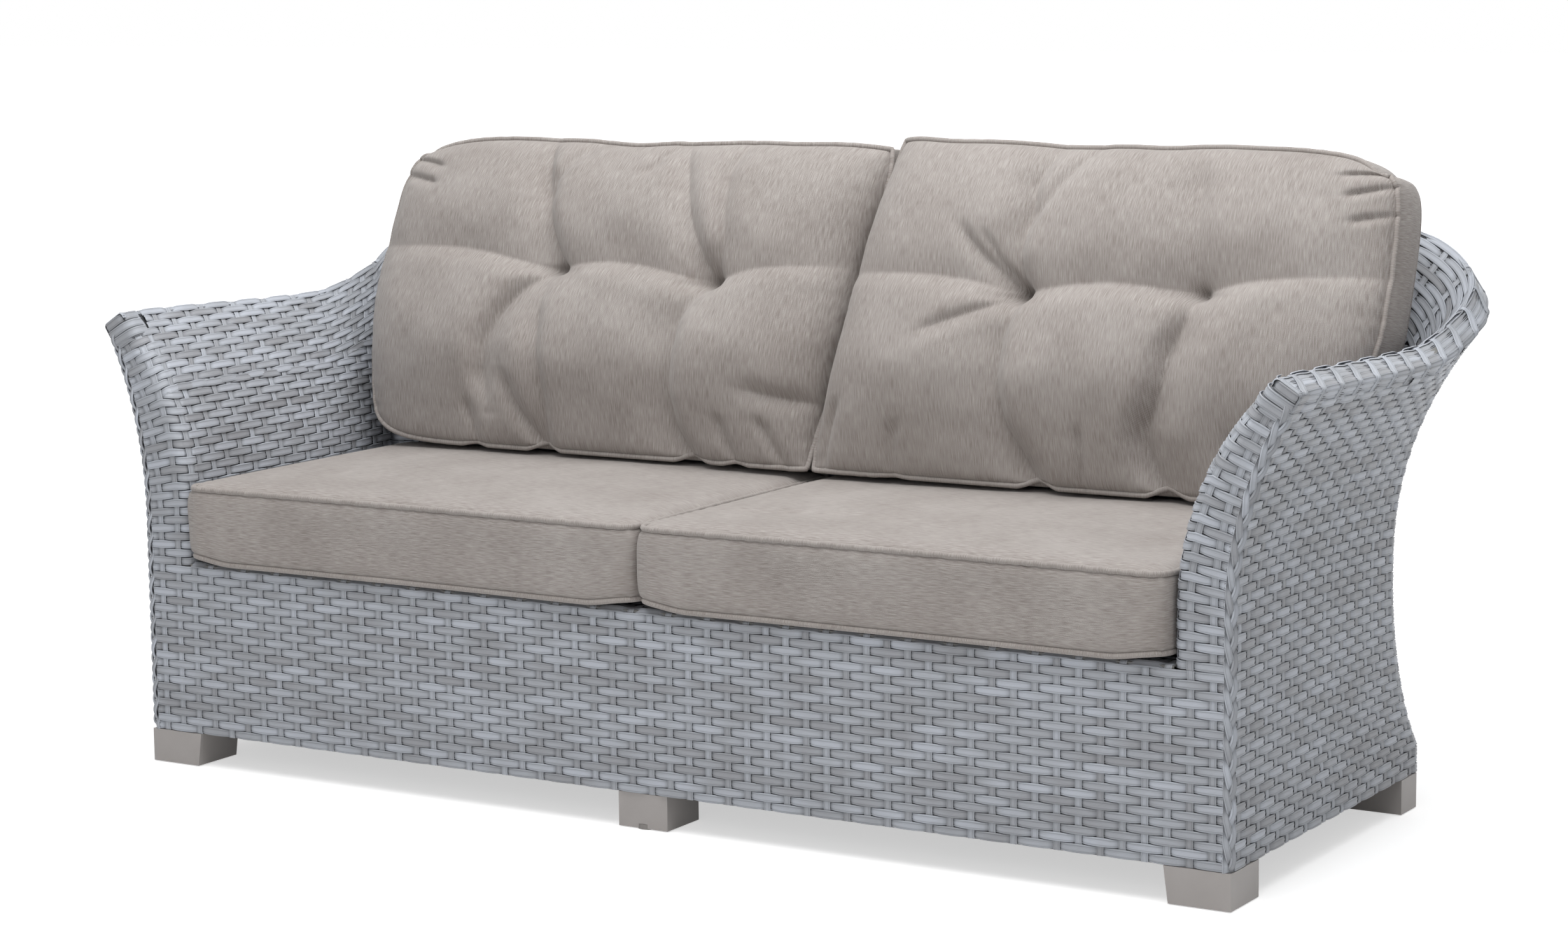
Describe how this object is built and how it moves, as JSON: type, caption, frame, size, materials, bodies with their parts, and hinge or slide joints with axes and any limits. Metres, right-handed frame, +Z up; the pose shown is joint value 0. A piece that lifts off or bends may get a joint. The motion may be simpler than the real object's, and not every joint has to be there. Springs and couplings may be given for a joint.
{
  "type": "rattan garden sofa",
  "caption": "Woven resin garden sofa with flared arms, a low curved back, short block feet, boxed seat cushions and tufted back cushions.",
  "frame": {"origin": "on the floor, under the middle of the bounding box at rest", "axes": "+X to the right as seen from the front, +Y from the front to the back, +Z up"},
  "size_m": [2.0472, 0.8634, 0.9689],
  "materials": {
    "strand": "satin resin strand",
    "frame": "powder coat",
    "fabric": "woven mélange polyester",
    "foot": "matt",
    "glide": "matt"
  },
  "bodies": {
    "sofa": {"front_rail_weave": "strand", "back_outer_weave": "strand", "back_inner_weave": "strand", "seat_deck_weave": "strand", "rim_wrap_back": "strand", "arm_front_weave_right": "strand", "side_weave_right": "strand", "rear_corner_weave_right": "strand", "arm_inner_weave_right": "strand", "inner_corner_weave_right": "strand", "rim_wrap_right": "strand", "corner_braid_right": "strand", "arm_front_weave_left": "strand", "side_weave_left": "strand", "rear_corner_weave_left": "strand", "arm_inner_weave_left": "strand", "inner_corner_weave_left": "strand", "rim_wrap_left": "strand", "corner_braid_left": "strand", "lower_front_rail": "frame", "lower_rear_rail": "frame", "seat_front_rail": "frame", "seat_rear_rail": "frame", "deck_bearer_1": "frame", "deck_bearer_2": "frame", "deck_bearer_3": "frame", "back_post_middle": "frame", "rim_tube_back": "frame", "lower_side_rail_right": "frame", "seat_side_rail_right": "frame", "front_post_right": "frame", "inner_front_post_right": "frame", "arm_post_right": "frame", "corner_post_right": "frame", "back_post_right": "frame", "rim_tube_right": "frame", "lower_side_rail_left": "frame", "seat_side_rail_left": "frame", "front_post_left": "frame", "inner_front_post_left": "frame", "arm_post_left": "frame", "corner_post_left": "frame", "back_post_left": "frame", "rim_tube_left": "frame", "foot_front_right": "foot", "foot_front_left": "foot", "foot_front_middle": "foot", "foot_rear_right": "foot", "foot_rear_left": "foot", "foot_rear_middle": "foot", "glide_front_right": "glide", "glide_front_left": "glide", "glide_front_middle": "glide", "glide_rear_right": "glide", "glide_rear_left": "glide", "glide_rear_middle": "glide"},
    "seat_cushion_right": {"seat_cushion_right": "fabric"},
    "seat_cushion_left": {"seat_cushion_left": "fabric"},
    "back_cushion_right": {"back_cushion_right": "fabric"},
    "back_cushion_left": {"back_cushion_left": "fabric"}
  },
  "joints": [
    {"name": "seat_cushion_right_slide", "type": "slide", "parent": "sofa", "child": "seat_cushion_right", "axis": [0, -1, 0], "range_m": [0, 0.3]},
    {"name": "seat_cushion_left_slide", "type": "slide", "parent": "sofa", "child": "seat_cushion_left", "axis": [0, -1, 0], "range_m": [0, 0.3]},
    {"name": "back_cushion_right_slide", "type": "slide", "parent": "sofa", "child": "back_cushion_right", "axis": [0, -1, 0], "range_m": [0, 0.3]},
    {"name": "back_cushion_left_slide", "type": "slide", "parent": "sofa", "child": "back_cushion_left", "axis": [0, -1, 0], "range_m": [0, 0.3]}
  ]
}
